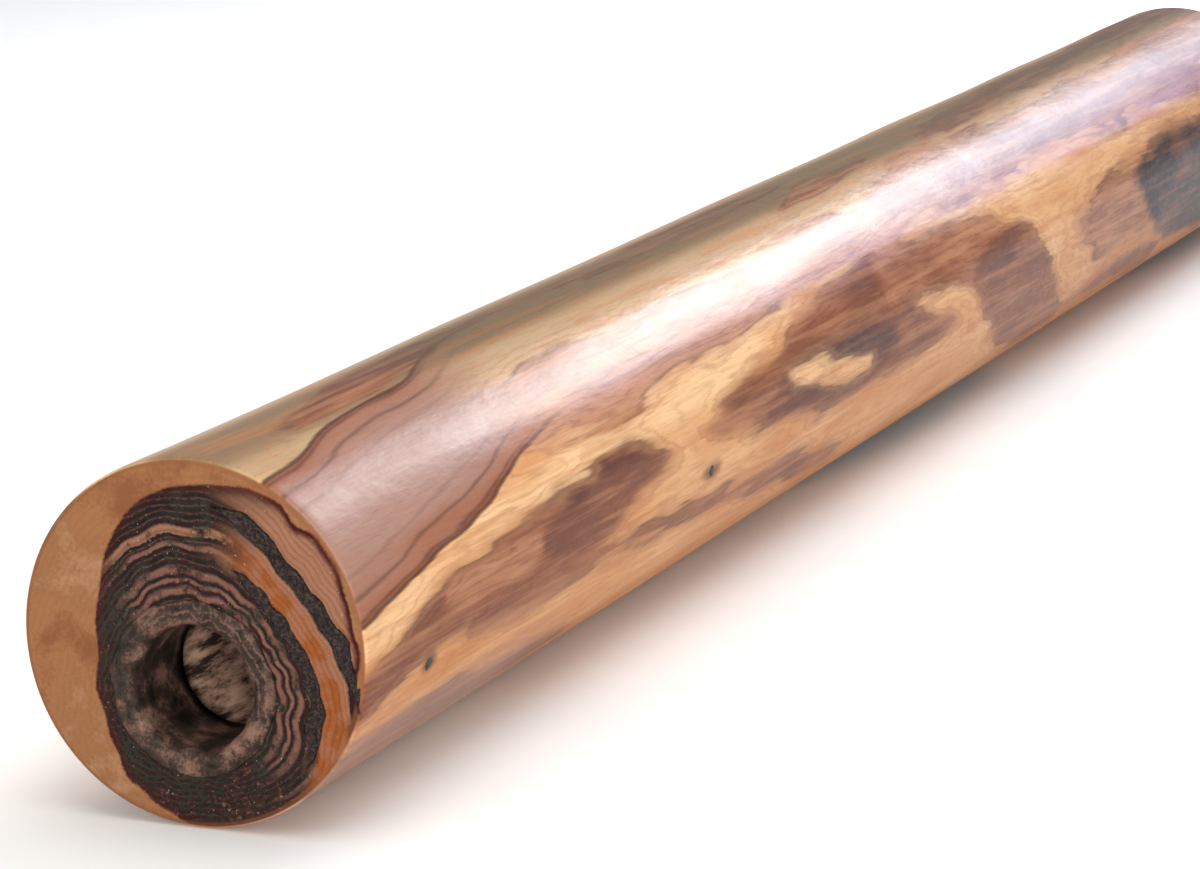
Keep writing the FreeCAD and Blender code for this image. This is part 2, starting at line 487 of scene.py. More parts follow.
SIDE_FLAMES: tuple[Flame, ...] = (
    # a pinkish drift along the shoulder
    Flame(((70, 40, 58), (100, 31, 60), (160, 30, 60), (230, 33, 60), (300, 37, 60),
           (430, 40, 60), (480, 48, 58)), 0.05),
    # over the shoulder
    Flame(((38, 79, 81), (60, 79.5, 91), (90, 80, 99), (118, 87, 99), (150, 90, 98),
           (190, 92, 97), (235, 94, 96)), 0.62),
    Flame(((235, 90, 92), (290, 86, 99), (350, 87, 100), (410, 92, 95)), 0.6),
    Flame(((370, 74, 77), (410, 73, 87), (450, 78, 84), (480, 82, 84)), 0.4),
    Flame(((425, 46, 66), (500, 40, 76), (620, 44, 72), (760, 40, 72), (900, 34, 78),
           (1040, 30, 82)), 0.42),
    Flame(((540, 80, 82), (600, 75, 92), (650, 80, 92), (690, 86, 89)), 0.5),
    Flame(((640, 88, 92), (700, 78, 100), (750, 82, 98), (800, 90, 93)), 0.7),
    Flame(((780, 90, 99), (880, 82, 106), (1000, 84, 108), (1040, 88, 104)), 0.75),
    # the first flame, its pale heart and its dark tip, with its tail at the end
    Flame(((-40, -36, -18), (0, -22, -4), (20, -14, 3), (35, -9, 11), (50, -8, 14),
           (80, -12, 15.5), (100, -13, 16), (125, -12, 15), (140, -11, 16.5), (152, -3, 18.5),
           (165, 0, 19), (178, 4, 16), (187, 9, 11)), 0.5),
    Flame(((42, 2, 10), (60, -3, 11), (85, -3, 11), (106, 3, 8)), 0.18),
    Flame(((98, 0, 8), (115, -6, 13), (140, -8, 15), (160, 1, 18), (182, 7, 13)), 0.72),
    Flame(((55, -14, -3), (100, -15, -6), (140, -15.5, -7.5), (180, -18, -10.5),
           (220, -22, -14), (260, -26, -17), (300, -34, -21), (345, -42, -32)), 0.5),
    Flame(((-40, -54, -26), (0, -52, -29), (60, -48, -29), (110, -46, -33), (142, -45, -43)),
          0.62),
    # the second flame and its pale island
    Flame(((213, 7, 9), (225, 4, 15), (245, 0, 19), (270, -3, 24), (300, -9, 33),
           (350, -9, 38), (392, -8, 38), (415, -8, 14), (438, -7.5, 8), (453, -3, 0)), 0.62),
    Flame(((262, 0, 6), (285, -4, 16), (310, -7, 20), (350, -7, 18), (385, -2, 10)), 0.8),
    Flame(((286, 10, 13), (300, 5, 14.5), (320, 1, 12), (340, -2, 6), (354, -1, 1)), 0.2, False),
    Flame(((385, 16, 38), (420, 15, 37), (460, 9, 35), (490, 3, 34), (515, 2, 33),
           (530, 10, 24)), 0.30),
    Flame(((476, -8, 12), (500, -17, 21), (530, -31, 22), (555, -38, 18), (575, -41, 2),
           (600, -42, -22), (625, -42, -36)), 0.55),
    Flame(((408, 11, 14), (430, 6, 12.5), (450, 2, 9.5), (468, -8, 6), (482, -18, -2),
           (498, -34, -14)), 0.2, False),
    # towards the bell
    Flame(((622, 4, 8), (650, -13, 17), (700, -16, 22), (745, -18, 24), (775, -10, 10)), 0.32),
    Flame(((718, 10, 14), (742, -8, 22), (766, -24, 25), (800, -31, 27), (850, -36, 26),
           (900, -42, 28), (950, -30, 20), (990, -10, 0)), 1.0),
    Flame(((628, -36, -34), (680, -39, -25), (740, -42, -23), (790, -42, -28)), 0.6),
    # out of the player's sight, round the back and underneath
    Flame(((-40, 128, 166), (0, 130, 160), (90, 134, 172), (170, 142, 165), (215, 150, 153)), 0.6),
    Flame(((120, 176, 184), (190, 168, 204), (270, 180, 210), (335, 196, 201)), 0.75),
    Flame(((250, 128, 132), (330, 124, 150), (430, 140, 176), (520, 150, 172), (560, 160, 163)),
          0.55),
    Flame(((370, 150, 154), (392, 148, 162), (420, 156, 160)), 0.2, False),
    Flame(((450, 196, 200), (540, 184, 220), (640, 190, 214), (700, 200, 204)), 0.7),
    Flame(((560, 122, 128), (640, 126, 148), (740, 132, 160), (790, 144, 148)), 0.8),
    Flame(((700, 162, 170), (790, 158, 200), (880, 166, 206), (940, 184, 188)), 0.9),
    Flame(((880, 132, 140), (950, 130, 160), (1040, 134, 166)), 0.6),
    Flame(((-40, 226, 262), (40, 230, 268), (130, 238, 262), (190, 250, 254)), 0.65),
    Flame(((170, 262, 270), (260, 246, 282), (360, 250, 276), (420, 262, 266)), 0.5),
    Flame(((380, 282, 290), (470, 270, 306), (560, 276, 302), (600, 290, 294)), 0.8),
    Flame(((580, 240, 246), (680, 238, 272), (790, 248, 266), (830, 256, 259)), 0.6),
    Flame(((800, 262, 272), (880, 254, 298), (980, 262, 300), (1040, 270, 290)), 0.85),
)


@dataclass(frozen=True)
class SideFigure:
    """Where heartwood shows on the log's side."""

    billet: Billet
    wedge: Flame = WEDGE
    flames: tuple[Flame, ...] = SIDE_FLAMES
    merge: float = 1.4
    far_outside: float = -40.0
    borer_holes: tuple[tuple[float, float, float], ...] = ((34, -13, 1.6), (214, -5, 3.0))

    def fields(self, station: Grid, turn: Grid) -> Fields:
        """Work out the side's fields.

        Args:
            station: distances from the blowing end, millimetres.
            turn: angles round the log, radians.

        Returns:
            Depth inside the wedge and the flames, their tone, and how pale the sapwood is, with
            painted shade that darkens it towards the underside.
        """
        radius = self.billet.radius(station)
        across = radius * np.cos(turn)
        up = radius * np.sin(turn)
        drift = Waves(11, (120.0, 34.0, 34.0), 9).at(station, across, up)
        ripple = Waves(12, (46.0, 11.0, 11.0), 9).at(station, across, up)
        wander = 1.3 * drift + 0.6 * ripple
        heart = np.full_like(station, self.far_outside)
        islands = np.full_like(station, self.far_outside)
        tone = np.full_like(station, 0.5)
        for flame in self.flames:
            depth = flame.depth(station, turn, radius) + wander
            if flame.heart:
                heart = soft_max(heart, depth, self.merge)
                share = smooth_step(depth, -1.5, 2.5)
                tone = tone * (1 - share) + flame.tone * share
            else:
                islands = np.maximum(islands, depth)
        heart = -soft_max(-heart, islands, self.merge)
        heart = heart * (1 - 0.45 * smooth_step(station, 430, 620))
        wedge = self.wedge.depth(station, turn, radius) + 0.35 * wander
        # the sapwood's paleness; the sine term is painted shade, darker on the underside and paler
        # on the top
        pale = 0.44 + 0.34 * np.sin(turn) + 0.10 * drift
        cream = Flame(((-40, -8, 12), (0, -4, 11), (40, 12, 20), (80, 17, 27), (120, 16, 31),
                       (200, 19, 32), (290, 22, 34), (330, 32, 34))).depth(station, turn, radius)
        pale = pale + 0.22 * smooth_step(cream, -2.0, 4.0) - 0.16 * smooth_step(station, 480, 800)
        return {
            Field.HEART: heart,
            Field.WEDGE: wedge,
            Field.WEDGE_FADE: smooth_step(station, 82, 138),
            Field.TONE: tone,
            Field.PALENESS_AND_SHADE: pale,
            Field.SHOULDER: np.sin(turn),
            Field.STAIN: self._stain(station, turn, radius),
        }

    def _stain(self, station: Grid, turn: Grid, radius: Grid) -> Grid:
        """Millimetres outside the dark stains that the borer holes left, stretched along."""
        nearest = np.full_like(station, 30.0)
        for middle, angle, stretch in self.borer_holes:
            across = (turn - math.radians(angle) + np.pi) % (2 * np.pi) - np.pi
            reach = np.hypot((station - middle) / stretch, across * radius)
            nearest = np.minimum(nearest, reach)
        return nearest


def soft_max(first: Grid, second: Grid, blend: float) -> Grid:
    """The larger of two fields, rounded where they cross."""
    mixed = np.clip(0.5 + 0.5 * (first - second) / blend, 0, 1)
    return second + (first - second) * mixed + blend * mixed * (1 - mixed)


@dataclass(frozen=True)
class EndFigure:
    """Growth rings, heartwood outline and filled shakes of the blowing end's face.

    Positions are in millimetres from the middle of the face: across to +X, and up.  Rings are
    counted out from the pipe's axis.
    """

    billet: Billet
    flat_turn: float = 35.0
    flatness: float = 0.065
    heart_middle: tuple[float, float] = (8.0, -2.5)
    heart_half: tuple[float, float] = (30.5, 37.5)

    def squareness(self, turn: Grid) -> Grid:
        """How far a ring stands out at each turn, as a share of its mean radius."""
        triangle = -self.flatness * np.cos(3 * (turn - math.radians(self.flat_turn)))
        return 1 + triangle

    def waviness(self, turn: Grid, ring: Grid) -> Grid:
        """The rings' own wobble, in millimetres, which changes slowly from ring to ring."""
        x, y = np.cos(turn), np.sin(turn)
        broad = Waves(21, (1.3, 1.3, 60.0), 6).at(x, y, ring)
        fine = Waves(22, (0.42, 0.42, 45.0), 8).at(x, y, ring)
        return 0.40 * broad + 0.36 * fine

    def ring(self, across: Grid, up: Grid) -> tuple[Grid, Grid]:
        """Which ring a point lies on.

        Args:
            across: positions towards +X.
            up: positions upwards.

        Returns:
            The ring's mean radius in millimetres, and the turn about the pipe.
        """
        rise = up + self.billet.pipe_drop
        turn = np.arctan2(rise, across)
        reach = np.hypot(across, rise)
        ring = reach / self.squareness(turn)
        return ring - self.waviness(turn, ring), turn

    def point(self, ring: Grid, turn: Grid) -> tuple[Grid, Grid]:
        """The place on the face that lies on a ring, the reverse of ring().

        Args:
            ring: mean radii in millimetres.
            turn: turns about the pipe, radians.

        Returns:
            Positions across and up.
        """
        reach = (ring + self.waviness(turn, ring)) * self.squareness(turn)
        return reach * np.cos(turn), reach * np.sin(turn) - self.billet.pipe_drop

    def heart(self, across: Grid, up: Grid) -> Grid:
        """Millimetres inside the heartwood's scalloped outline, negative in the sapwood."""
        x = (across - self.heart_middle[0]) / self.heart_half[0]
        y = (up - self.heart_middle[1]) / self.heart_half[1]
        power = np.where(x > 0, 2.05, 2.5)
        reach = (np.abs(x) ** power + np.abs(y) ** power) ** (1 / power)
        angle = np.arctan2(y, x)
        scallops = Waves(31, (0.55, 0.55, 1.0), 8).at(np.cos(angle), np.sin(angle))
        return (1 - reach) * 33.0 + 0.75 * scallops

    def warmth(self, turn: Grid, ring: Grid) -> Grid:
        """Where the light strips between the dark rings show: the upper right of the face."""
        degrees = np.degrees(turn)
        wobble = 6 * Waves(41, (9.0, 1.0, 1.0), 4).at(ring)
        start = smooth_step(degrees + wobble, -42, -24)
        stop = 1 - smooth_step(degrees + wobble, 58, 84)
        return start * stop

    def crown(self, turn: Grid) -> Grid:
        """Where the pale lines are strong: over the pipe and down its right-hand side."""
        degrees = np.degrees(turn)
        return smooth_step(degrees, -60, -20) * (1 - smooth_step(degrees, 115, 150))

    def fields(self, across: Grid, up: Grid) -> Fields:
        """The face's fields for the finish.

        Args:
            across: positions towards +X.
            up: positions upwards.

        Returns:
            Ring radius, depth inside the heart, warmth and strength of the pale lines.
        """
        ring, turn = self.ring(across, up)
        return {
            Field.RING: ring,
            Field.END_HEART: self.heart(across, up),
            Field.WARM: self.warmth(turn, ring),
            Field.CROWN: self.crown(turn),
        }


# ---- finishes


@dataclass(frozen=True)
class HardwoodFinish:
    """Lacquered hardwood: golden sapwood, flames of brown heart, dark end grain, with painted
    shade on the side's underside, painted reflections along its top and underside, and painted
    glints on the end grain.
    """

    cream: Tint = Tint(232, 190, 144)
    gold: Tint = Tint(206, 151, 102)
    amber: Tint = Tint(188, 120, 68)
    umber: Tint = Tint(104, 78, 52)
    top_reflection_olive: Tint = Tint(162, 136, 106)
    floor_reflection_grey: Tint = Tint(186, 158, 146)
    spine_reflection_green: Tint = Tint(84, 78, 58)
    pinkish: Tint = Tint(182, 128, 94)
    brown: Tint = Tint(138, 82, 54)
    purple: Tint = Tint(100, 56, 42)
    dusk: Tint = Tint(34, 27, 29)
    wedge_pale: Tint = Tint(160, 122, 106)
    wedge_dark: Tint = Tint(150, 92, 66)
    outline: Tint = Tint(72, 34, 24)
    end_sap: Tint = Tint(134, 92, 62)
    end_sap_amber: Tint = Tint(140, 96, 64)
    end_sap_pale: Tint = Tint(154, 116, 86)
    end_sap_rust: Tint = Tint(120, 76, 50)
    end_dark: Tint = Tint(26, 23, 22)
    end_green: Tint = Tint(42, 46, 38)
    end_brown: Tint = Tint(56, 40, 34)
    end_maroon: Tint = Tint(60, 18, 20)
    end_pink: Tint = Tint(116, 80, 70)
    end_tan: Tint = Tint(140, 98, 76)
    end_orange: Tint = Tint(134, 74, 36)
    glint: Tint = Tint(190, 176, 168)
    pipe_pale: Tint = Tint(178, 142, 124)
    pipe_dark: Tint = Tint(50, 40, 36)

    def build(self) -> bpy.types.Material:
        """Write the material.

        Returns:
            The log's one material, for its side, ends and pipe.
        """
        graph = Graph("lacquered_hardwood")
        side, side_rough, side_height = self._side(graph)
        end, end_rough, end_height = self._end(graph)
        is_end = graph.rise(graph.attribute(Field.END), 0.35, 0.65)
        colour = graph.mix(is_end, side, end)
        colour = graph.mix(graph.attribute(Field.PIPE), colour, self._pipe(graph))
        roughness = side_rough * (1 - is_end) + end_rough * is_end
        height = side_height * (1 - is_end) + end_height * is_end
        return graph.finish({
            "Base Color": colour,
            "Roughness": roughness,
            "IOR": 1.32,
            "Specular IOR Level": 0.08,
            "Normal": graph.bump(height, 1.0, 1.0),
            "Coat Weight": 0.05 - 0.03 * is_end,
            "Coat Roughness": 0.12,
        })

    def _pipe(self, graph: Graph) -> Socket:
        """Colour of the pipe's wall: bare grey-tan wood with dark flutes."""
        streak = graph.noise(graph.place(0.18), 0.30, 5.0, 0.7)
        return graph.ramp(streak, [(0.42, self.pipe_dark), (0.62, self.pipe_pale)])

    def _side(self, graph: Graph) -> tuple[Socket, Signal, Signal]:
        """Colour, roughness and relief of the log's side."""
        mix, rise, ramp = graph.mix, graph.rise, graph.ramp
        read, noise = graph.attribute, graph.noise
        flow = noise(graph.place(0.075), 0.10, 4.0, 0.62, 0.5)
        grain = noise(graph.place(0.045), 0.9, 3.0, 0.65)
        streak = noise(graph.place(0.03), 0.32, 3.0, 0.6)
        fibre = noise(graph.place(0.03), 3.2, 2.0, 0.6)
        pores = noise(graph.place(0.09), 5.0, 1.0, 0.5)
        cloud = noise(graph.place(0.35), 0.05, 3.0, 0.6)
        swell = noise(graph.place(0.4), 0.07, 4.0, 0.6)
        heart = (read(Field.HEART) + (flow - 0.5) * 9.0 + (grain - 0.5) * 2.0
                 + (streak - 0.5) * 5.0)
        wedge = read(Field.WEDGE) + (flow - 0.5) * 1.6 + (grain - 0.5) * 0.8
        tone = (read(Field.TONE) + (cloud - 0.5) * 0.8 + (flow - 0.5) * 0.7).clamp()
        pale = (read(Field.PALENESS_AND_SHADE) + (cloud - 0.5) * 0.7
                + (flow - 0.5) * 0.5).clamp()

        # the paleness read here carries the painted shade on the underside
        sap = ramp(pale, [(0.0, self.amber), (0.36, self.gold), (0.80, self.cream)])
        # painted reflection: the sapwood turns a greyer olive over the top of the log, where the
        # side faces up
        top = rise(read(Field.SHOULDER), 0.84, 0.94)
        sap = mix(top * 0.75, sap, self.top_reflection_olive)
        # painted dark reflection: umber along the top ridge of the side
        ridge_reflection = rise(read(Field.SHOULDER), 0.95, 0.995)
        sap = mix(ridge_reflection * 0.70, sap, self.umber)
        contour = (heart + (cloud - 0.5) * 7.0).lines(3.1, 4.0) * rise(heart, -13.0, -1.0)
        sap = mix(contour * 0.30, sap, self.brown)
        sap = mix(rise(streak, 0.48, 0.66) * 0.45, sap, self.amber)
        sap = mix(rise(grain, 0.50, 0.72) * 0.30, sap, self.amber)
        wood = ramp(tone, [(0.0, self.pinkish), (0.45, self.brown), (0.78, self.purple),
                                 (1.0, self.dusk)])
        rings = (heart + (flow - 0.5) * 8.0).lines(2.9, 3.0)
        wood = mix(rings * 0.42, wood, self.purple)
        lit = 1.12 - tone
        wood = mix(rise(streak, 0.46, 0.64) * lit * 0.8, wood, self.pinkish)
        wood = mix(rise(grain, 0.5, 0.75) * lit * 0.5, wood, self.pinkish)
        colour = mix(rise(heart, -3.2, 3.0), sap, wood)
        rim = rise(abs(heart - 0.6), 1.1, 0.1) * rise(cloud, 0.42, 0.60)
        colour = mix(rim * 0.45, colour, self.outline)

        blush = ramp((wedge * 0.045 + (flow - 0.5) * 0.9 + 0.1).clamp(), [
            (0.0, self.wedge_dark), (0.6, self.wedge_pale)])
        folds = (wedge + (flow - 0.5) * 2.0).lines(4.6, 6.0) * rise(wedge, 15.0, 3.0)
        blush = mix(folds * 0.60, blush, self.outline)
        blush = mix(rise(grain, 0.50, 0.75) * 0.30, blush, self.wedge_dark)
        kept = 1 - read(Field.WEDGE_FADE)
        colour = mix(rise(wedge, -0.3, 0.5) * kept, colour, blush)
        edge = rise(abs(wedge), 0.95, 0.15) * kept ** 0.4
        colour = mix(edge * 0.85, colour, self.outline)

        # painted reflection of the pale floor: a grey cast on the underside near the blowing end
        floor_reflection = rise(read(Field.SHOULDER), -0.30, -0.62) * kept
        colour = mix(floor_reflection * 0.40, colour, self.floor_reflection_grey)
        # painted dark green reflection along the top ridge, away from the blowing end
        spine_reflection = rise(read(Field.SHOULDER), 0.965, 0.998) * (1 - kept)
        colour = mix(spine_reflection * 0.45, colour, self.spine_reflection_green)
        stain = rise(read(Field.STAIN) + (grain - 0.5) * 2.5, 3.4, 1.0)
        colour = mix(stain * 0.7, colour, self.outline)
        colour = mix(rise(fibre, 0.5, 0.8) * 0.22, colour, self.outline, "MULTIPLY")
        colour = mix(rise(pores, 0.68, 0.78) * 0.25, colour, self.outline)
        roughness = 0.20 + grain * 0.14 + swell * 0.12
        height = swell * 0.55 + grain * 0.030 + fibre * 0.012
        return colour, roughness, height

    def _end(self, graph: Graph) -> tuple[Socket, Signal, Signal]:
        """Colour, roughness and relief of the end grain."""
        mix, rise, ramp = graph.mix, graph.rise, graph.ramp
        read, noise = graph.attribute, graph.noise
        where = graph.place()
        speck = noise(where, 0.95, 4.0, 0.7)
        patchy = noise(where, 0.11, 4.0, 0.6)
        strength = noise(where, 0.22, 2.0, 0.5)
        tiny = noise(where, 4.0, 2.0, 0.6)
        ring = read(Field.RING) + (speck - 0.5) * 1.0 + (patchy - 0.5) * 1.8
        inside = read(Field.END_HEART) + (speck - 0.5) * 1.3
        warm = read(Field.WARM)
        crown = read(Field.CROWN)

        broad = noise(where, 0.045, 2.0, 0.5, 0.8)
        sap = ramp(broad * 0.5 + patchy * 0.3 + speck * 0.2, [
            (0.38, self.end_sap_rust), (0.47, self.end_sap_amber), (0.54, self.end_sap),
            (0.64, self.end_sap_pale)])
        sap = mix(ring.lines(1.7, 4.0) * 0.20, sap, self.end_sap_rust)

        dark = ramp(patchy * 0.45 + speck * 0.55, [
            (0.32, self.end_dark), (0.44, self.end_green), (0.50, self.end_dark),
            (0.60, self.end_brown), (0.68, self.end_pink)])
        arcs = ramp(ring * (1 / RING_SPAN), self._arc_stops())
        lines = crown * rise(strength * 0.6 + speck * 0.4, 0.36, 0.56)
        dark = mix(lines * 0.9, dark, arcs)
        fine = ring.lines(1.37, 4.0) * rise(speck, 0.36, 0.60)
        dark = mix(fine * (0.20 + crown * 0.25), dark, self.end_pink)
        dark = mix(ring.lines(2.1, 5.0) * 0.35, dark, self.end_maroon)
        strips = ramp(ring * (1 / RING_SPAN), [
            (0.56, self.end_dark), (0.595, self.end_orange), (0.66, self.end_orange),
            (0.70, self.end_tan), (0.715, self.end_dark), (0.775, self.end_dark),
            (0.79, self.end_tan), (0.93, self.end_tan)])
        faded = rise(strength, 0.42, 0.62) * rise(abs(ring - 37.2), 1.4, 1.9)
        strips = mix(faded * 0.6, strips, self.end_tan)
        strips = mix(ring.lines(1.37, 3.0) * 0.28, strips, self.end_maroon)
        heart = mix(warm * rise(ring, 26.0, 28.0), dark, strips)
        border = rise(inside, 2.4, 0.5) * (0.45 + 0.55 * warm)
        heart = mix(border, heart, self.end_maroon)
        colour = mix(rise(inside, -0.35, 0.35), sap, heart)
        colour = mix(rise(tiny, 0.55, 0.75) * 0.25, colour, self.end_dark)
        glint = rise(noise(where, 1.9, 1.0, 0.5), 0.74, 0.80)
        colour = mix(glint * rise(inside, 0.0, 1.0) * 0.55, colour, self.glint)
        # a darker rust band where the end grain meets the side, over the small round at the
        # blowing end
        edge_round_band = read(Field.END)
        edge_round_band = rise(edge_round_band, 0.0, 0.4) * rise(edge_round_band, 1.0, 0.85)
        colour = mix(edge_round_band * 0.45, colour, self.end_sap_rust)
        roughness = 0.36 + speck * 0.22
        height = speck * 0.24 + tiny * 0.04
        return colour, roughness, height

    def _arc_stops(self) -> list[tuple[float, Tint]]:
        """The pale growth lines of the heart: ring radius over the ramp's span, and colour."""
        stops = []
        soft = 0.3
        for middle, half, tint in ((16.6, 0.35, self.end_pink), (20.0, 0.5, self.end_pink),
                                   (22.2, 0.25, self.end_pink), (24.2, 0.55, self.end_pink),
                                   (29.4, 0.35, self.end_pink), (32.3, 0.7, self.end_tan)):
            for reach, colour in ((-half - soft, self.end_dark), (-half, tint),
                                  (half, tint), (half + soft, self.end_dark)):
                stops.append(((middle + reach) / RING_SPAN, colour))
        return stops


@dataclass(frozen=True)
class WaxFinish:
    """Worked beeswax: grey brown, with dirt rubbed in along the wood's rings."""

    light: Tint = Tint(122, 92, 80)
    middle: Tint = Tint(58, 45, 39)
    dark: Tint = Tint(22, 20, 17)
    trace: Tint = Tint(116, 82, 72)

    def build(self) -> bpy.types.Material:
        """Write the material.

        Returns:
            The wax material.
        """
        graph = Graph("worked_beeswax")
        cloud = graph.noise(graph.place(), 0.16, 4.0, 0.6)
        speck = graph.noise(graph.place(), 1.6, 3.0, 0.6)
        colour = graph.ramp(cloud * 0.75 + speck * 0.25, [
            (0.36, self.dark), (0.5, self.middle), (0.64, self.light)])
        ring = graph.attribute(Field.RING) + (speck - 0.5) * 0.8 + (cloud - 0.5) * 2.0
        traced = ring.lines(1.9, 4.0) * (0.15 + 0.55 * graph.attribute(Field.CROWN))
        colour = graph.mix(traced * graph.rise(speck, 0.36, 0.56), colour, self.trace)
        return graph.finish({
            "Base Color": colour,
            "Roughness": 0.38 + speck * 0.25,
            "Normal": graph.bump(cloud + speck * 0.25, 0.5, 0.5),
            "Specular IOR Level": 0.12,
            "Subsurface Weight": 0.05,
            "Subsurface Scale": 0.002,
        })


@dataclass(frozen=True)
class ResinFinish:
    """Black filled resin with brown dust in it."""

    black: Tint = Tint(14, 11, 11)
    dusty: Tint = Tint(76, 52, 46)

    def build(self) -> bpy.types.Material:
        """Write the material.

        Returns:
            The resin material.
        """
        graph = Graph("black_resin")
        dust = graph.noise(graph.place(), 1.4, 4.0, 0.7)
        colour = graph.ramp(dust, [(0.46, self.black), (0.66, self.dusty)])
        return graph.finish({
            "Base Color": colour,
            "Roughness": 0.18 + dust * 0.40,
            "Specular IOR Level": 0.35,
            "Normal": graph.bump(dust, 0.8, 1.0),
        })


@dataclass(frozen=True)
class FloorFinish:
    """Matt white studio paper."""

    paper: Tint = Tint(244, 243, 241)
    shade: Tint = Tint(238, 237, 235)

    def build(self) -> bpy.types.Material:
        """Write the material."""
        graph = Graph("studio_paper")
        fleck = graph.noise(graph.place(0.01, 0.01), 3.0, 3.0, 0.5)
        return graph.finish({
            "Base Color": graph.mix(fleck, self.paper, self.shade), "Roughness": 0.9})


# ---- pieces


@dataclass
class Piece:
    """Something that rides on the instrument and stands for one CAD node."""

    node: str
    slot: Slot

    def register(self, built: Thing, material: bpy.types.Material,
                 replaces: bool = True) -> None:
        """Dress a mesh and hand it to the frame.

        Args:
            built: the mesh object.
            material: its finish.
            replaces: whether it stands for this piece's CAD node.
        """
        built.data.materials.clear()
        built.data.materials.append(material)
        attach(built, "root")
        if replaces:
            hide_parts(self.node)
        LOG.info("%s: %d points, %d faces", built.name, len(built.data.vertices),
                 len(built.data.polygons))


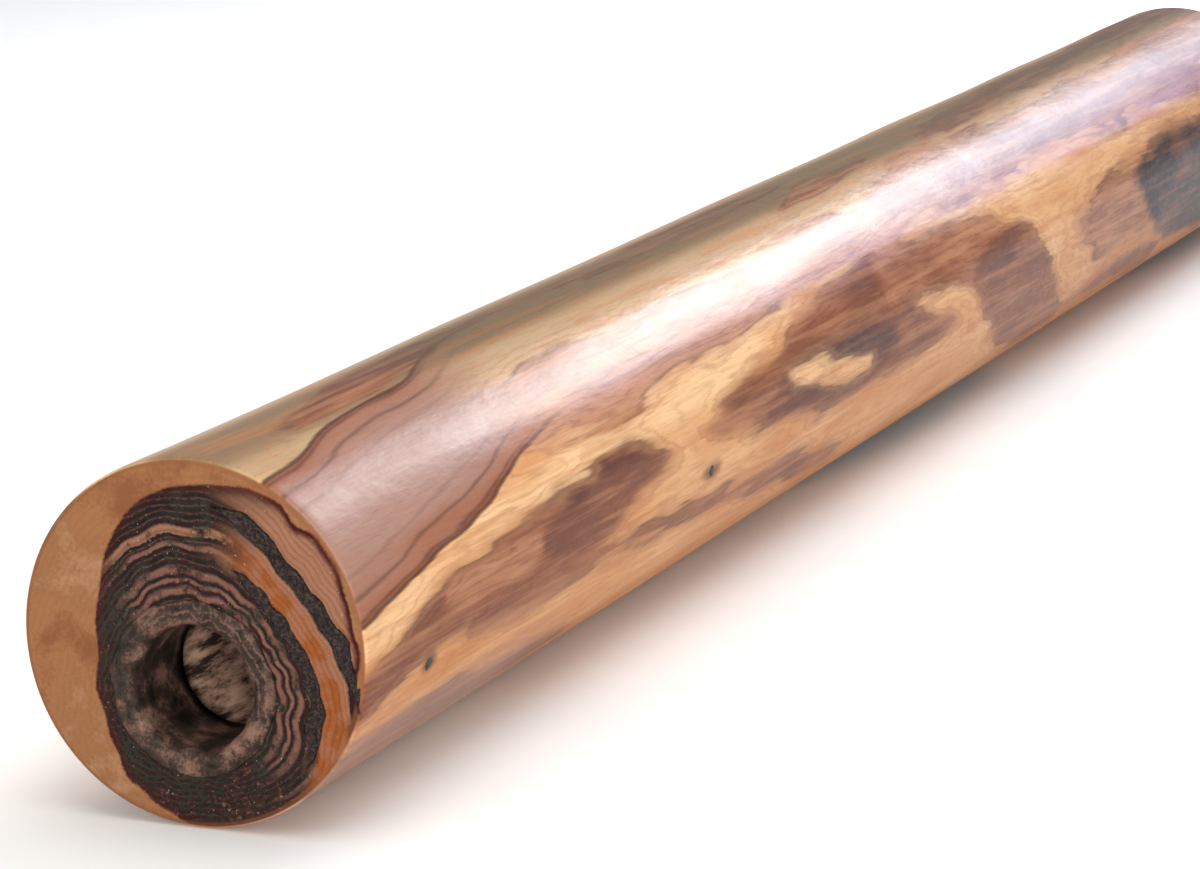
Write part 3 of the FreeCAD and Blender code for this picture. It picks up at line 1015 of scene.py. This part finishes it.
@dataclass
class Log(Piece):
    """The hollow hardwood tube, as one closed skin."""

    billet: Billet = field(default_factory=Billet)
    around: int = 256
    face_rows: int = 72
    side_rows: int = 210
    pipe_rows: int = 34
    lip_rows: int = 4
    mouth_round: float = 1.8
    bell_round: float = 8.0
    lip_round: float = 2.0
    seat_radius: float = 18.5
    seat_depth: float = 22.0
    throat_radius: float = 17.5
    bell_hole_radius: float = 38.0
    side_growth: float = 1.006
    middle: tuple[float, float] = (450.0, 28.0)
    flare: tuple[float, float] = (820.0, 34.0)
    overrun: float = 3.0
    flute_depth: float = 0.7
    ridge_spacing: float = 4.1
    gap_depth: float = 1.3
    fills: Sequence["RingFill"] = ()

    def build(self) -> Thing:
        """Skin the log from the wax seat outwards and back through the pipe.

        Returns:
            The finished, dressed object.
        """
        turn = np.linspace(0, 2 * np.pi, self.around, endpoint=False)
        rows = [self._face(turn), self._mouth_edge(turn), self._side(turn),
                self._bell(turn), self._pipe(turn), self._seat(turn)]
        points = np.concatenate(rows)
        fields = self._fields(points, rows, turn)
        log = grid_mesh("log_wood", self.billet.to_world(points), True, True, fields)
        self.register(log, HardwoodFinish().build())
        return log

    def _ring(self, turn: Grid, radius: Grid | float, station: Grid | float,
              centre_up: float = 0.0) -> Grid:
        """One row of points round the log."""
        across = radius * np.cos(turn)
        up = radius * np.sin(turn) + centre_up
        return np.stack([across, station + 0 * turn, up], axis=-1)

    def _face(self, turn: Grid) -> Grid:
        """The blowing end's face, from the wax seat out to the start of the rounded edge."""
        inner = self._ring(turn, self.seat_radius, 0.0, -self.billet.pipe_drop)
        outer = self._ring(turn, self.billet.mouth_radius - self.mouth_round, 0.0)
        share = np.linspace(0, 1, self.face_rows)[:, None, None]
        face = inner + (outer - inner) * share
        end = EndFigure(self.billet)
        across, up = face[..., 0], face[..., 2]
        ring, _ = end.ring(across, up)
        heart = smooth_step(end.heart(across, up), -0.5, 1.5)
        grit = Waves(51, (2.6, 2.6, 2.6), 10).at(across, up)
        ridges = 0.10 * np.sin(2 * np.pi * ring / self.ridge_spacing)
        relief = heart * (ridges + 0.08 * grit - 0.18)
        for fill in self.fills:
            relief = relief - self.gap_depth * fill.cover(across, up)
        calm = smooth_step(share[..., 0], 1.0, 0.93) * smooth_step(share[..., 0], 0.0, 0.03)
        face[..., 1] -= relief * calm
        return face

    def _mouth_edge(self, turn: Grid) -> Grid:
        """The small round where the face meets the side."""
        rows = []
        for angle in np.linspace(0, math.pi / 2, 7)[1:]:
            radius = self.billet.mouth_radius - self.mouth_round * (1 - math.sin(angle))
            rows.append(self._ring(turn, radius, self.mouth_round * (1 - math.cos(angle))))
        return np.stack(rows)

    def _side(self, turn: Grid) -> Grid:
        """The long side, with the slight unevenness of a hand-shaped log."""
        steps = self.side_growth ** np.arange(self.side_rows)
        share = np.cumsum(steps) / np.sum(steps)
        first = self.mouth_round
        last = self.billet.length - self.bell_round
        rows = []
        for station in first + (last - first) * share:
            reach = self.billet.radius(station) - self.billet.drop(station, turn)
            rows.append(self._ring(turn, reach, station))
        return np.stack(rows)

    def _bell(self, turn: Grid) -> Grid:
        """The bell end: its rounded shoulder, flat face and inner lip."""
        length, outer = self.billet.length, self.billet.bell_radius
        rows = []
        for angle in np.linspace(0, math.pi / 2, 9)[1:]:
            radius = outer - self.bell_round * (1 - math.cos(angle))
            station = length - self.bell_round * (1 - math.sin(angle))
            rows.append(self._ring(turn, radius, station))
        for radius in np.linspace(outer - self.bell_round, self.bell_hole_radius + self.lip_round,
                                  5)[1:]:
            rows.append(self._ring(turn, radius, length))
        for angle in np.linspace(0, math.pi / 2, self.lip_rows + 1)[1:]:
            radius = self.bell_hole_radius + self.lip_round * (1 - math.sin(angle))
            station = length - self.lip_round * (1 - math.cos(angle))
            rows.append(self._ring(turn, radius, station))
        return np.stack(rows)

    def _pipe(self, turn: Grid) -> Grid:
        """The natural pipe, with the shallow flutes that termites leave."""
        stations = np.linspace(self.billet.length - self.lip_round - 8, self.seat_depth,
                               self.pipe_rows)
        flutes = Waves(71, (160.0, 16.0, 16.0), 9)
        rows = []
        for station in stations:
            radius = np.interp(station, *zip(
                (self.seat_depth, self.throat_radius), self.middle, self.flare,
                (self.billet.length + self.overrun, self.bell_hole_radius)))
            ease = min(1.0, (station - self.seat_depth) / 20)
            gouge = flutes.at(station + 0 * turn, radius * np.cos(turn), radius * np.sin(turn))
            reach = radius + self.flute_depth * ease * gouge
            rows.append(self._ring(turn, reach, station, self.billet.pipe_height(station)))
        return np.stack(rows)

    def _seat(self, turn: Grid) -> Grid:
        """The step that the wax ring is bedded in."""
        drop = -self.billet.pipe_drop
        return np.stack([
            self._ring(turn, self.seat_radius, self.seat_depth, drop),
            self._ring(turn, self.seat_radius, self.seat_depth / 2, drop),
            self._ring(turn, self.seat_radius, 0.4, drop),
        ])

    def _fields(self, points: Grid, rows: list[Grid],
                turn: Grid) -> Fields:
        """Give every point the fields of the side and of the ends.

        Args:
            points: all rows of the skin.
            rows: the stretches they came in, in order.
            turn: the angle of each column.

        Returns:
            Every field, one value per point.
        """
        across, station, up = points[..., 0], points[..., 1], points[..., 2]
        angle = np.broadcast_to(turn, station.shape)
        values = SideFigure(self.billet).fields(station, angle)
        values.update(EndFigure(self.billet).fields(across, up))
        counts = [len(row) for row in rows]
        face_end, edge_end, side_end, bell_end = np.cumsum(counts)[:4]
        is_end = np.zeros(station.shape)
        is_end[:face_end] = 1.0
        is_end[face_end:edge_end] = np.linspace(0.9, 0.0, counts[1])[:, None]
        is_end[side_end + 6:] = 1.0
        is_end[bell_end:] = 1.0
        values[Field.END] = is_end
        values[Field.PIPE] = np.zeros(station.shape)
        values[Field.PIPE][bell_end:] = 1.0
        values[Field.PIPE][bell_end - self.lip_rows:bell_end] = np.linspace(
            0.0, 0.9, self.lip_rows)[:, None]
        return values


@dataclass
class RingFill(Piece):
    """Black resin in a ring shake of the end grain: a wavy band with a rough top."""

    billet: Billet = field(default_factory=Billet)
    ring: float = 37.5
    start: float = -3.0
    stop: float = 84.0
    half_width: float = 1.7
    depth: float = 1.1
    seed: int = 81
    steps: int = 150
    lanes: int = 9
    grit_count: int = 240

    def width_at(self, turn: Grid) -> Grid:
        """Half the band's width at a turn, fading to nothing at both ends."""
        degrees = np.degrees(turn)
        ends = smooth_step(degrees, self.start, self.start + 14)
        ends = ends * (1 - smooth_step(degrees, self.stop - 16, self.stop))
        wobble = Waves(self.seed, (0.34, 1.0, 1.0), 7).at(turn)
        return self.half_width * (1 + 0.28 * wobble) * ends

    def cover(self, across: Grid, up: Grid) -> Grid:
        """Where the band's gap lies on the face, from 0 outside to 1 inside."""
        ring, turn = EndFigure(self.billet).ring(across, up)
        width = self.width_at(turn)
        return smooth_step(width - np.abs(ring - self.ring), -0.15, 0.25) * (width > 0.05)

    def build(self) -> Thing:
        """Pour the band and scatter its grit.

        Returns:
            The band's object.
        """
        end = EndFigure(self.billet)
        turn = np.radians(np.linspace(self.start + 0.5, self.stop - 0.5, self.steps))
        lanes = np.linspace(-1, 1, self.lanes)
        width = np.maximum(self.width_at(turn), 0.12)
        rough = Waves(self.seed + 1, (1.1, 0.05, 1.0), 9)
        loops = []
        for lane in lanes:
            across, up = end.point(self.ring + lane * width, turn)
            crown = 0.16 * (1 - lane**2) + 0.10 * rough.at(lane, turn) * (1 - abs(lane) ** 3)
            loops.append(np.stack([across, 0.12 - crown, up], axis=-1))
        for lane in lanes[::-2]:
            across, up = end.point(self.ring + lane * width * 0.9, turn)
            loops.append(np.stack([across, np.full_like(turn, self.depth), up], axis=-1))
        points = np.stack(loops, axis=1)
        band = grid_mesh(f"{self.node}_band", self.billet.to_world(points), True, False)
        finish = ResinFinish().build()
        self.register(band, finish)
        self.register(self._grit(band, finish), finish, replaces=False)
        return band

    def _grit(self, band: Thing, finish: bpy.types.Material) -> Thing:
        """Scatter coarse grains of filler over the band's top with Geometry Nodes.

        Args:
            band: the band that the grains lie on.
            finish: the resin's material.

        Returns:
            The grains as one plain mesh object.
        """
        scatter = GritScatter(self.seed, self.grit_count, finish)
        return scatter.over(band, f"{self.node}_grit")


@dataclass
class GritScatter:
    """A Geometry Nodes tree that scatters small grains over a mesh's front faces."""

    seed: int
    count: int
    finish: bpy.types.Material
    smallest: float = 0.00012
    largest: float = 0.00034
    carrier_area: float = 0.00018
    facing_limit: float = -0.6

    def over(self, carrier: Thing, name: str) -> Thing:
        """Bake grains lying on a carrier into a mesh of their own.

        Args:
            carrier: the mesh that carries the grains.
            name: the new object's name.

        Returns:
            The grains' object.
        """
        host = bpy.data.objects.new(name, carrier.data.copy())
        bpy.context.scene.collection.objects.link(host)
        modifier = host.modifiers.new("grains", "NODES")
        tree, sockets = self._tree()
        modifier.node_group = tree
        modifier[sockets["Density"]] = self.count / self.carrier_area
        modifier[sockets["Smallest"]] = self.smallest
        modifier[sockets["Largest"]] = self.largest
        modifier[sockets["Seed"]] = self.seed
        evaluated = host.evaluated_get(bpy.context.evaluated_depsgraph_get())
        baked = bpy.data.meshes.new_from_object(evaluated)
        host.modifiers.clear()
        host.data = baked
        return host

    def _tree(self) -> tuple[bpy.types.GeometryNodeTree, dict[str, str]]:
        """Build the tree.

        Returns:
            The tree, and the identifier of each named input.
        """
        tree = Tree(bpy.data.node_groups.new("grain_scatter", "GeometryNodeTree"))
        interface = tree.tree.interface
        interface.new_socket("Geometry", in_out="INPUT", socket_type="NodeSocketGeometry")
        identifiers = {}
        for label, kind in (("Density", "NodeSocketFloat"), ("Smallest", "NodeSocketFloat"),
                            ("Largest", "NodeSocketFloat"), ("Seed", "NodeSocketInt")):
            socket = interface.new_socket(label, in_out="INPUT", socket_type=kind)
            identifiers[label] = socket.identifier
        interface.new_socket("Geometry", in_out="OUTPUT", socket_type="NodeSocketGeometry")

        given = tree.node("NodeGroupInput").outputs
        facing = tree.node("GeometryNodeInputNormal").outputs[0]
        split = tree.node("ShaderNodeSeparateXYZ", None, {0: facing})
        front = tree.node("FunctionNodeCompare", {"data_type": "FLOAT", "operation": "LESS_THAN"},
                          {"A": split.outputs["Y"], "B": self.facing_limit})
        spread = tree.node("GeometryNodeDistributePointsOnFaces", None, {
            "Mesh": given["Geometry"], "Selection": front.outputs["Result"],
            "Density": given["Density"], "Seed": given["Seed"]})
        grain = tree.node("GeometryNodeMeshIcoSphere", None, {"Radius": 1.0, "Subdivisions": 1})
        size = tree.node("FunctionNodeRandomValue", {"data_type": "FLOAT"}, {
            2: given["Smallest"], 3: given["Largest"], "Seed": given["Seed"]})
        lie = tree.node("FunctionNodeRandomValue", {"data_type": "FLOAT_VECTOR"}, {
            1: (math.pi, math.pi, math.pi), "Seed": given["Seed"]})
        scatter = tree.node("GeometryNodeInstanceOnPoints", None, {
            "Points": spread.outputs["Points"], "Instance": grain.outputs["Mesh"],
            "Scale": size.outputs[1], "Rotation": lie.outputs[0]})
        realize = tree.node("GeometryNodeRealizeInstances", None, {
            "Geometry": scatter.outputs["Instances"]})
        paint = tree.node("GeometryNodeSetMaterial", None, {
            "Geometry": realize.outputs["Geometry"], "Material": self.finish})
        tree.node("NodeGroupOutput", None, {"Geometry": paint.outputs["Geometry"]})
        return tree.tree, identifiers


@dataclass
class WaxMouthpiece(Piece):
    """The beeswax ring in the blowing end, worked smooth by thumb."""

    billet: Billet = field(default_factory=Billet)
    outer_radius: float = 18.5
    hole_radius: float = 13.5
    depth: float = 22.0
    lip: float = 3.0
    around: int = 160

    def build(self) -> Thing:
        """Turn the ring's section round the pipe's axis, with dents in its front.

        Returns:
            The finished object.
        """
        turn = np.linspace(0, 2 * np.pi, self.around, endpoint=False)
        front = -self.billet.wax_proud
        section = [(self.outer_radius - 0.08, self.depth), (self.outer_radius - 0.08, 10.0),
                   (self.outer_radius - 0.08, 0.6), (self.outer_radius + 0.7, 0.05),
                   (self.outer_radius + 0.3, front * 0.45), (self.outer_radius - 0.6, front * 0.8)]
        for angle in np.linspace(0, math.pi / 2, 9):
            section.append((self.hole_radius + self.lip * (1 - math.sin(angle)),
                            front + self.lip * (1 - math.cos(angle))))
        section += [(self.hole_radius, depth) for depth in (4.0, 8.0, 13.0, 18.0, self.depth)]
        dents = Waves(91, (0.9, 0.9, 7.0), 8)
        rows = []
        for radius, station in section:
            shown = smooth_step(np.array(station), 6.0, 0.0)
            worked = dents.at(np.cos(turn), np.sin(turn), station + 0 * turn)
            reach = radius + 0.30 * worked * shown
            across = reach * np.cos(turn)
            up = reach * np.sin(turn) - self.billet.pipe_drop
            push = station + 0.16 * shown * dents.at(np.sin(turn), np.cos(turn), radius + 0 * turn)
            rows.append(np.stack([across, np.maximum(push, front), up], axis=-1))
        points = np.stack(rows)
        fields = EndFigure(self.billet).fields(points[..., 0], points[..., 2])
        ring = grid_mesh("wax_ring", self.billet.to_world(points), True, True, fields)
        self.register(ring, WaxFinish().build())
        return ring


@dataclass
class PinPlug(Piece):
    """A resin plug in a borer hole, its head slightly proud and uneven."""

    billet: Billet = field(default_factory=Billet)
    station: float = 34.0
    turn: float = -13.0
    radius: float = 1.3
    depth: float = 9.0

    def build(self) -> Thing:
        """Model the plug as a short turned pin that points out of the side.

        Returns:
            The finished object.
        """
        angle = math.radians(self.turn)
        side = self.billet.radius(self.station) - self.billet.drop(self.station, angle)
        outwards = np.array([math.cos(angle), 0.0, math.sin(angle)])
        along = np.array([0.0, 1.0, 0.0])
        sideways = np.cross(outwards, along)
        profile = [(0.08, 0.20), (0.45, 0.18), (0.8, 0.13), (1.05, 0.04), (1.15, -0.15),
                   (1.0, -0.6), (1.0, -4.5), (0.9, -self.depth)]
        around = np.linspace(0, 2 * np.pi, 28, endpoint=False)
        ragged = Waves(int(self.station), (1.2, 1.2, 1.0), 6).at(np.cos(around), np.sin(around))
        rows = []
        for share, height in profile:
            reach = self.radius * share * (1 + 0.10 * ragged)
            ring = (
                outwards * (side + height)
                + along * (reach * np.cos(around))[:, None] * 1.25
                + sideways * (reach * np.sin(around))[:, None]
            )
            ring[:, 1] += self.station
            rows.append(ring)
        plug = grid_mesh(f"{self.node}_pin", self.billet.to_world(np.stack(rows)), True, False)
        self.register(plug, ResinFinish().build())
        return plug


# ---- studio


@dataclass(frozen=True)
class SoftBox:
    """One rectangular studio light."""

    name: str
    place: tuple[float, float, float]
    aim: tuple[float, float, float]
    width: float
    height: float
    watts: float
    tint: tuple[float, float, float] = (1.0, 1.0, 1.0)
    lean: float = 0.0

    def build(self) -> None:
        """Hang the light and point it."""
        lamp = bpy.data.lights.new(self.name, "AREA")
        lamp.shape = "RECTANGLE"
        lamp.size = self.width
        lamp.size_y = self.height
        lamp.energy = self.watts
        lamp.color = self.tint
        holder = bpy.data.objects.new(self.name, lamp)
        towards = Vector(self.aim) - Vector(self.place)
        holder.matrix_world = (Matrix.Translation(self.place)
                               @ towards.to_track_quat("-Z", "Y").to_matrix().to_4x4()
                               @ Matrix.Rotation(math.radians(self.lean), 4, "Z"))
        holder.visible_camera = False
        bpy.context.scene.collection.objects.link(holder)


@dataclass
class Studio:
    """A pale floor, soft lights and the camera."""

    camera_place: tuple[float, float, float] = (0.3275, -1.145, 0.2235)
    camera_azimuth: float = 20.54
    camera_elevation: float = 11.11
    focal_length: float = 104.4
    floor_half: float = 9.0
    surround: float = 0.45

    def build(self) -> None:
        """Set the floor, the lights, the camera and the surrounding light."""
        self._floor()
        for box in self._lights():
            box.build()
        self._camera()
        self._surroundings()

    def _floor(self) -> None:
        """Lay the paper that the log rests on."""
        half = self.floor_half
        mesh = bpy.data.meshes.new("floor")
        corners = [(-half, -half, 0), (half, -half, 0), (half, half, 0), (-half, half, 0)]
        mesh.from_pydata(corners, [], [(0, 1, 2, 3)])
        mesh.materials.append(FloorFinish().build())
        floor = bpy.data.objects.new("floor", mesh)
        bpy.context.scene.collection.objects.link(floor)

    def _lights(self) -> list[SoftBox]:
        """The light plan: five boxes beyond the bell end make one long highlight."""
        bell = (0.0, 0.0, 0.06)
        return [
            SoftBox("sheen_box", (0.38, 2.6, 1.86), bell, 0.95, 0.60, 9.5, (0.66, 0.76, 1.0)),
            SoftBox("high_box", (0.36, 2.6, 1.30), bell, 0.80, 0.46, 32),
            SoftBox("middle_box", (0.24, 2.6, 0.90), bell, 0.55, 0.40, 4.1, (0.50, 0.68, 1.0)),
            SoftBox("low_box", (0.14, 2.6, 0.56), bell, 0.42, 0.34, 0.72, (0.46, 0.62, 1.0)),
            SoftBox("fringe_box", (0.66, 2.6, 0.95), bell, 0.15, 1.00, 4.0, (0.42, 0.48, 1.0), 30),
            SoftBox("overhead", (0.2, -0.2, 2.4), (0, 0, 0), 2.6, 3.2, 46),
            SoftBox("mouth_fill", (0.85, -2.4, 0.45), (0, -0.5, 0.04), 0.5, 0.5, 34,
                    (1.0, 0.96, 0.90)),
            SoftBox("left_fill", (-0.9, -2.2, 0.9), (0, -0.5, 0.05), 1.2, 1.0, 7),
        ]

    def _camera(self) -> None:
        """Place the camera level, looking along the log from the right of its blowing end."""
        lens = bpy.data.cameras.new("camera")
        lens.lens = self.focal_length
        lens.sensor_width = 36.0
        lens.clip_start = 0.01
        lens.clip_end = 60.0
        holder = bpy.data.objects.new("camera", lens)
        holder.location = self.camera_place
        holder.rotation_euler = (math.radians(90 - self.camera_elevation), 0,
                                 math.radians(self.camera_azimuth))
        bpy.context.scene.collection.objects.link(holder)
        bpy.context.scene.camera = holder

    def _surroundings(self) -> None:
        """Even white light from all round, and plain colour rendering."""
        world = bpy.data.worlds.new("studio")
        world.use_nodes = True
        back = world.node_tree.nodes["Background"]
        back.inputs["Color"].default_value = (1.0, 1.0, 1.0, 1.0)
        back.inputs["Strength"].default_value = self.surround
        bpy.context.scene.world = world
        bpy.context.scene.view_settings.view_transform = "Standard"


def main() -> None:
    """Build the instrument and the studio, piece by piece."""
    logging.basicConfig(level=logging.INFO, format="%(name)s %(message)s")
    fills = (
        RingFill("ring_fill_outer", Slot.RESIN),
        RingFill("ring_fill_inner", Slot.RESIN, ring=27.7, start=-30, stop=70,
                 half_width=1.5, seed=85, grit_count=200),
    )
    Log("log", Slot.HARDWOOD, fills=fills).build()
    WaxMouthpiece("wax_mouthpiece", Slot.BEESWAX).build()
    for fill in fills:
        fill.build()
    PinPlug("pin_plug_near", Slot.RESIN).build()
    PinPlug("pin_plug_middle", Slot.RESIN, station=214.0, turn=-5.0).build()
    Studio().build()


if __name__ == "__main__":
    main()
